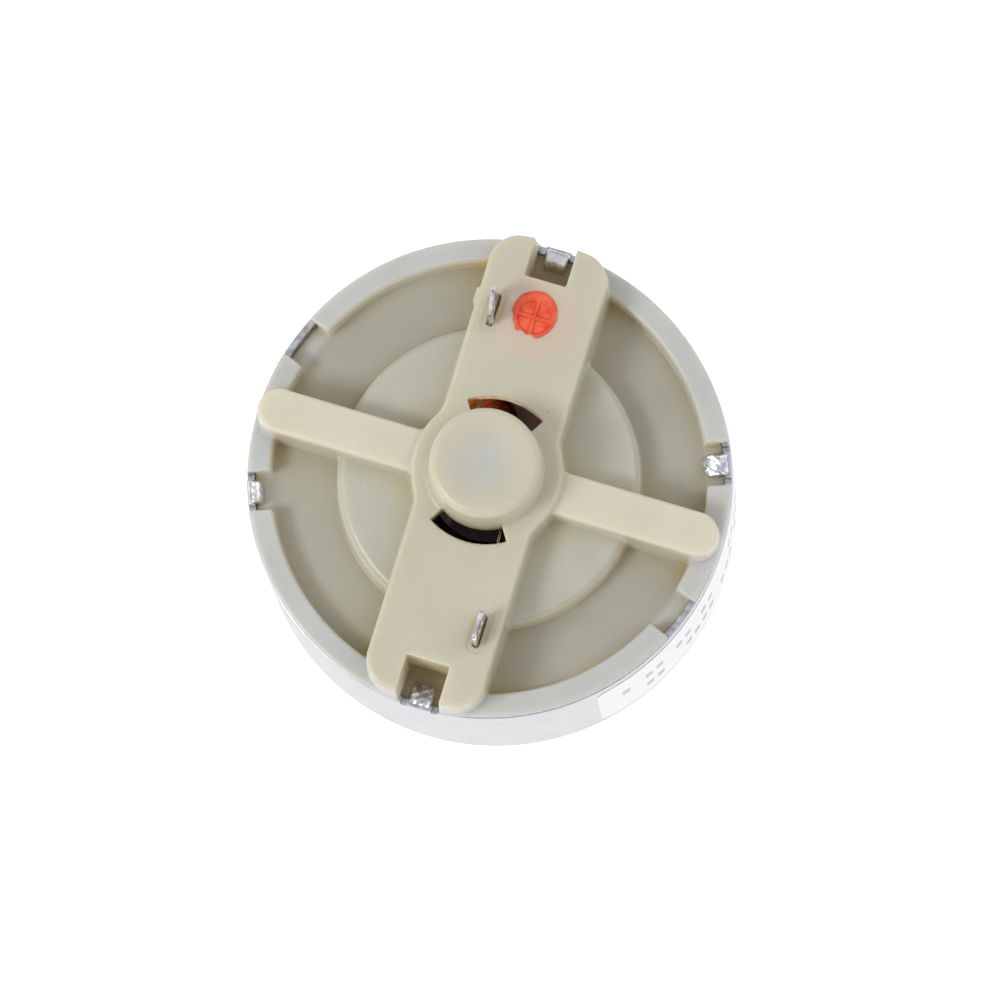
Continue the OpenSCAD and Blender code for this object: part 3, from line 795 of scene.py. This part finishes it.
def make_tabs():
    """The four crimp tabs, each with its own reach and dents."""
    tabs = [(angle, reach, True) for angle, reach in ROLLED_TABS.items()]
    tabs += [(angle, reach, False) for angle, reach in FLAT_TABS.items()]
    for i, (angle, reach, rolled) in enumerate(tabs):
        add_mesh(f"crimp_tab_{i + 1}", *turned(tab_part(i + 3, reach, rolled), angle),
                 rolled_steel if rolled else tab_steel, "stator", "can_steel")


# ---------------------------------------------------------------- small metal parts
def make_terminals():
    """Tinned blades with rounded corners and solder eyes, one of them bent out of line."""
    half_w, half_t, top, corner, eye_r = 0.8, 0.11, TERMINAL_TOP, 0.35, 0.35
    heights = [BAR_TOP - 2.5, BAR_TOP, BAR_TOP + 0.5]
    outline = fillet([(half_w, z, 0) for z in heights]
                     + [(half_w, top, corner), (-half_w, top, corner)]
                     + [(-half_w, z, 0) for z in reversed(heights)], 8)
    eye = arc(eye_r, 0, 360, 24)[:-1] + [0, top - half_w]
    for name, (tx, ty) in TERMINALS.items():
        points, faces = blade(outline, eye, half_t)
        x, y, z = points[:, 2], points[:, 0], points[:, 1]
        twist = np.radians(TERMINAL_TWIST[name]) * np.clip((z - BAR_TOP) / 0.5, 0, 1)
        placed = np.column_stack([tx + x * np.cos(twist) - y * np.sin(twist),
                                  ty + x * np.sin(twist) + y * np.cos(twist), z])
        add_mesh(name + "_blade", placed, faces, tinned, "stator", "tinned_terminal", [name])


def blade(outline, eye, half_t):
    """A flat blade with a round eye. Points are (across, up, through)."""
    edge = 0.05
    n, m = len(outline), len(eye)
    rings = [(grow(outline, d), z) for d, z in
             ((-edge, -half_t), (0, edge - half_t), (0, half_t - edge), (-edge, half_t))]
    holes = [(grow(eye, d), z) for d, z in
             ((edge, -half_t), (0, edge - half_t), (0, half_t - edge), (edge, half_t))]
    points = np.concatenate([np.column_stack([p, np.full(len(p), z)]) for p, z in rings + holes])
    faces = []
    for i in range(3):
        faces += [(i * n + j, i * n + (j + 1) % n, (i + 1) * n + (j + 1) % n, (i + 1) * n + j)
                  for j in range(n)]
        base = 4 * n + i * m
        faces += [(base + j, base + m + j, base + m + (j + 1) % m, base + (j + 1) % m)
                  for j in range(m)]
    for ring, hole, flip in ((0, 4 * n, True), (3 * n, 4 * n + 3 * m, False)):
        cap = bridge(points, list(range(ring, ring + n)), list(range(hole, hole + m)))
        faces += [tuple(reversed(f)) for f in cap] if flip else cap
    return points, faces


def bridge(points, outer, inner):
    """Triangles between an outline and a hole, paired by angle about the hole's centre."""
    centre = points[inner].mean(0)

    def by_angle(ids):
        angles = [math.atan2(points[i][1] - centre[1], points[i][0] - centre[0]) for i in ids]
        start = int(np.argmin(angles))
        return ids[start:] + ids[:start], sorted(angles)

    a, angle_a = by_angle(outer)
    b, angle_b = by_angle(inner)
    faces, i, j = [], 0, 0
    while i < len(a) or j < len(b):
        next_a = angle_a[i + 1] if i + 1 < len(a) else (angle_a[0] + 2 * math.pi)
        next_b = angle_b[j + 1] if j + 1 < len(b) else (angle_b[0] + 2 * math.pi)
        if j >= len(b) or (i < len(a) and next_a <= next_b):
            faces.append((a[i % len(a)], a[(i + 1) % len(a)], b[j % len(b)]))
            i += 1
        else:
            faces.append((a[i % len(a)], b[(j + 1) % len(b)], b[j % len(b)]))
            j += 1
    return faces


def make_brushes():
    """Each brush is two thin fingers side by side, welded to its terminal."""
    thick, spacing = 0.035, 0.09
    tip_y, bend_y, knee_y, foot_y = -1.7, 2.4, 6.9, 8.5
    for turn, which in ((0, "positive"), (180, "negative")):
        low, high = span("brush_leaf_" + which)
        parts = []
        for offset in (0.0, spacing):
            inner, foot = 1.36 + offset, 1.78 + offset * 0.3
            outline = np.array([(inner, tip_y), (inner + thick, tip_y), (inner + thick, bend_y),
                                (foot + thick, knee_y), (foot + thick, foot_y), (foot, foot_y),
                                (foot, knee_y), (inner, bend_y)])
            points, faces = prism(outline, low[2], high[2], 0.01, 1)
            points = points * [-1, 1, 1]
            parts.append((points, [tuple(reversed(f)) for f in faces]))
        points, faces = turned(join(*parts), turn)
        add_mesh("brush_fingers_" + which, points, faces, leaf_alloy, "stator", "brush_leaf",
                 ["brush_leaf_" + which])


# ---------------------------------------------------------------- rotor
def make_coils():
    """Windings: a core bundle with every outer turn of wire as a tube."""
    wire_r, pitch, corner, end = 0.062, 0.132, 0.9, 6.5
    half_w = 3.02
    z0, z1 = (corner_point[2] for corner_point in span("coil_1"))
    section = fillet([(-half_w, z0, corner), (half_w, z0, corner), (half_w, z1, corner),
                      (-half_w, z1, corner)], 6)
    bundle_outline = grow(section, -2 * wire_r)
    wire_outline = grow(section, -wire_r)
    chance = np.random.default_rng(11)
    for number, (angle, start) in enumerate(WINDINGS, 1):
        parts = [loft([np.column_stack([np.full(len(bundle_outline), u), bundle_outline])
                       for u in (start + 0.05, end - 0.05)])]
        for k in range(int((end - start - 2 * wire_r) / pitch) + 1):
            u = start + wire_r + k * pitch
            slant = chance.normal(0, 0.02)
            wobble = chance.normal(0, 0.012, 2)
            path = np.column_stack([u + slant * wire_outline[:, 0] / half_w + wobble[0],
                                    wire_outline * (1 - 0.006 * abs(wobble[1]) / 0.012)])
            path = refine(path, 3)
            parts.append(tube(path, wire_r, 6))
        points, faces = turned(join(*parts), angle)
        add_mesh(f"winding_{number}", points, faces, copper_wire, "rotor", "winding",
                 [f"coil_{number}"])


def refine(path, times):
    """A closed path with its long steps split."""
    closed = np.vstack([path, path[:1]])
    out = []
    for a, b in zip(closed[:-1], closed[1:]):
        parts = times if np.linalg.norm(b - a) > 1 else 1
        out += [a + (b - a) * i / parts for i in range(parts)]
    return np.array(out)


def make_shaft_and_weight():
    """The ground shaft, and the half disc that is bored to fit it."""
    low, high = (v[2] for v in span("shaft"))
    chamfer = 0.12
    shaft = lathe([(0.0, low), (SHAFT_R - chamfer, low), (SHAFT_R, low + chamfer),
                   (SHAFT_R, high - chamfer), (SHAFT_R - chamfer, high), (0.0, high)], 64)
    add_mesh("shaft_ground", *shaft, ground_steel, "rotor", "shaft_steel", ["shaft"])

    (_, _, z0), (x1, y1, z1) = span("eccentric_weight")
    radius, hub, corner_r = x1, y1, 0.35
    corner = math.degrees(math.asin(corner_r / radius))
    rim = arc(radius, 180 + corner * 2, 360 - corner * 2, 72)
    right = fillet([(rim[-1][0], rim[-1][1], 0), (radius, 0, corner_r), (hub + 0.3, 0, 0)],
                   6)[:-1]
    hub_arc = arc(hub, 4, 176, 40)
    left = right[::-1] * [-1, 1]
    outline = np.concatenate([rim[:-1], right, hub_arc, left])
    body = prism(outline, z0, z1, 0.22, 4)
    bore = prism(arc(SHAFT_R + 0.01, 0, 360, 64)[:-1], z0 - 1, z1 + 1, 0.01, 1)
    add_mesh("eccentric_half_disc", *cut_away(body, [bore]), weight_alloy, "rotor", "weight",
             ["eccentric_weight"])


# ---------------------------------------------------------------- paint mark
def make_mark():
    """Paint dabbed over the moulded ring and cross: a thin skin, ragged at its lower edge."""
    chance = np.random.default_rng(8)
    rings, spokes = 44, 200
    paint_r, skin = 1.13, 0.08
    angle = np.linspace(0, 2 * math.pi, spokes, endpoint=False)
    ragged = sum(chance.normal(0, 0.028) * np.cos(k * angle + chance.uniform(0, 6.3))
                 for k in range(3, 15))
    lower = np.clip(-np.sin(angle + 0.35) - 0.35, 0, 1)
    edge = paint_r + 0.06 * np.abs(np.sin(angle)) - 0.10 * lower + ragged * (0.1 + 1.9 * lower)
    cx, cy = MARK[0] - 0.03, MARK[1] + 0.17
    t = np.linspace(0, 1, rings + 1)[1:]
    x = np.concatenate([[cx], (cx + np.outer(t, edge * np.cos(angle))).ravel()])
    y = np.concatenate([[cy], (cy + np.outer(t, edge * np.sin(angle))).ravel()])
    r = np.hypot(x - MARK[0], y - MARK[1])
    inside = np.clip((MARK_RING_R - r) / 0.1, 0, 1)
    near_rib = np.minimum(np.abs(x - MARK[0]), np.abs(y - MARK[1]))
    rib = np.clip(1 - (near_rib - 0.07) / 0.08, 0, 1)
    rim = np.clip((np.concatenate([[0], np.repeat(t, spokes)]) - 0.95) / 0.05, 0, 1)
    z = BAR_TOP + 0.05 - 0.13 * inside * (1 - rib) - 0.035 * rim ** 2
    n = len(x)
    top = np.column_stack([x, y, z])
    under = top - [0, 0, skin]
    faces = [(0, 1 + j, 1 + (j + 1) % spokes) for j in range(spokes)]
    for i in range(rings - 1):
        a, b = 1 + i * spokes, 1 + (i + 1) * spokes
        faces += [(a + j, b + j, b + (j + 1) % spokes, a + (j + 1) % spokes)
                  for j in range(spokes)]
    last = 1 + (rings - 1) * spokes
    bottom = [tuple(n + i for i in reversed(f)) for f in faces]
    side = [(last + j, n + last + j, n + last + (j + 1) % spokes, last + (j + 1) % spokes)
            for j in range(spokes)]
    add_mesh("polarity_paint", np.vstack([top, under]), faces + bottom + side, red_paint,
             "stator", "red_paint", ["polarity_mark"])


# ---------------------------------------------------------------- carried-over CAD nodes
CAD_LOOKS = {
    "front_bush": bronze, "rear_bush": bronze, "thrust_plate": white_plastic,
    "front_spacer": white_plastic, "rear_spacer": white_plastic,
    "magnet_north": ferrite, "magnet_south": ferrite, "magnet_clip": spring_steel,
    "brush_damper_positive": pad_rubber, "brush_damper_negative": pad_rubber,
    "label": printed_film, "armature_core": lamination_steel,
    "insulator_front": insulator_plastic, "insulator_rear": insulator_plastic,
    "commutator_hub": resin, "commutator_segment_1": commutator_copper,
    "commutator_segment_2": commutator_copper, "commutator_segment_3": commutator_copper,
    "varistor_ring": black_disc,
}


def dress_cad_nodes():
    """Materials for the pieces that are shown as the CAD made them."""
    for name, material in CAD_LOOKS.items():
        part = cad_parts[name]
        part.data.materials.clear()
        part.data.materials.append(material)
    for name in ("front_bush", "front_spacer", "rear_spacer"):
        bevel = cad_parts[name].modifiers.new("edge", "BEVEL")
        bevel.width, bevel.segments, bevel.angle_limit = 0.06 * MM, 2, math.radians(40)


# ---------------------------------------------------------------- stage
def look_at(thing, place, target, up):
    """Puts a camera or light at a place, aimed at a target, with that up direction."""
    back = (Vector(place) - Vector(target)).normalized()
    right = Vector(up).cross(back).normalized()
    thing.matrix_world = Matrix.Translation(place) @ Matrix(
        (right, back.cross(right), back)).transposed().to_4x4()


def make_camera():
    """A long lens nearly square on to the end bell, turned to match the picture's upright."""
    azimuth, elevation, distance = math.radians(32), math.radians(81), 0.6
    back = Vector((math.sin(azimuth) * math.cos(elevation),
                   -math.cos(azimuth) * math.cos(elevation), math.sin(elevation)))
    target = Vector((0.958, -1.0, RING_TOP)) * MM
    frame_width = 50.35 * MM
    data = bpy.data.cameras.new("camera")
    data.lens = data.sensor_width * distance / frame_width
    camera = bpy.data.objects.new("camera", data)
    bpy.context.collection.objects.link(camera)
    picture_up = (-0.292, 0.956, 0)
    look_at(camera, target + back * distance, target, picture_up)
    data.clip_start, data.clip_end = 0.05, 5
    bpy.context.scene.camera = camera


def add_area(name, place, size, power, target=(0, 0, 0.008)):
    """A round area light aimed at a target, in metres and watts."""
    data = bpy.data.lights.new(name, "AREA")
    data.shape, data.size, data.energy = "DISK", size, power
    light = bpy.data.objects.new(name, data)
    bpy.context.collection.objects.link(light)
    look_at(light, place, target, (0, 1, 0.01))
    return light


def make_stage():
    """White studio floor, a sky that is brighter overhead, and the lights."""
    floor_z = cad_bounds[0][2] - 0.05 * MM
    reach = 0.6
    mesh = bpy.data.meshes.new("studio_floor")
    mesh.from_pydata([(-reach, -reach, floor_z), (reach, -reach, floor_z),
                      (reach, reach, floor_z), (-reach, reach, floor_z)], [], [(0, 1, 2, 3)])
    floor = bpy.data.objects.new("studio_floor", mesh)
    bpy.context.collection.objects.link(floor)
    material, nodes, link, shader = new_material("studio_white")
    shader.inputs["Base Color"].default_value = (0.35, 0.35, 0.35, 1)
    shader.inputs["Roughness"].default_value = 0.9
    shader.inputs["Emission Color"].default_value = (1, 1, 1, 1)
    shader.inputs["Emission Strength"].default_value = 0.85
    clear = nodes.new("ShaderNodeBsdfTransparent")
    one_sided = nodes.new("ShaderNodeMixShader")
    link(nodes.new("ShaderNodeNewGeometry").outputs["Backfacing"], one_sided.inputs[0])
    link(shader.outputs[0], one_sided.inputs[1])
    link(clear.outputs[0], one_sided.inputs[2])
    output = next(n for n in nodes if n.type == "OUTPUT_MATERIAL")
    link(one_sided.outputs[0], output.inputs["Surface"])
    mesh.materials.append(material)

    world = bpy.data.worlds.new("studio")
    bpy.context.scene.world = world
    world.use_nodes = True
    sky, sky_link = world.node_tree.nodes, world.node_tree.links.new
    upward = sky.new("ShaderNodeSeparateXYZ")
    sky_link(sky.new("ShaderNodeTexCoord").outputs["Generated"], upward.inputs[0])
    sky["Background"].inputs["Color"].default_value = (1, 1, 1, 1)
    sky_link(scaled(sky, sky_link, upward.outputs["Z"], 0.0, 0.6, 0.24, 0.70),
             sky["Background"].inputs["Strength"])
    add_area("key", (-0.16, -0.14, 0.26), size=0.10, power=0.42)
    add_area("fill", (0.18, 0.10, 0.24), size=0.24, power=0.10)
    # stands for the light that the translucent end bell lets through to the windings
    glow = add_area("inner_glow", (-0.0014, 0.0060, 0.0127), size=0.0012, power=0.0019,
                    target=(-0.0014, 0.0031, 0.00925))
    glow.data.spread = math.radians(70)
    glow.visible_camera = glow.visible_glossy = False
    bpy.context.scene.view_settings.view_transform = "Standard"


make_camera()
make_stage()
make_end_bell()
make_can()
make_tabs()
make_terminals()
make_brushes()
make_coils()
make_shaft_and_weight()
make_mark()
dress_cad_nodes()

bpy.context.view_layer.update()
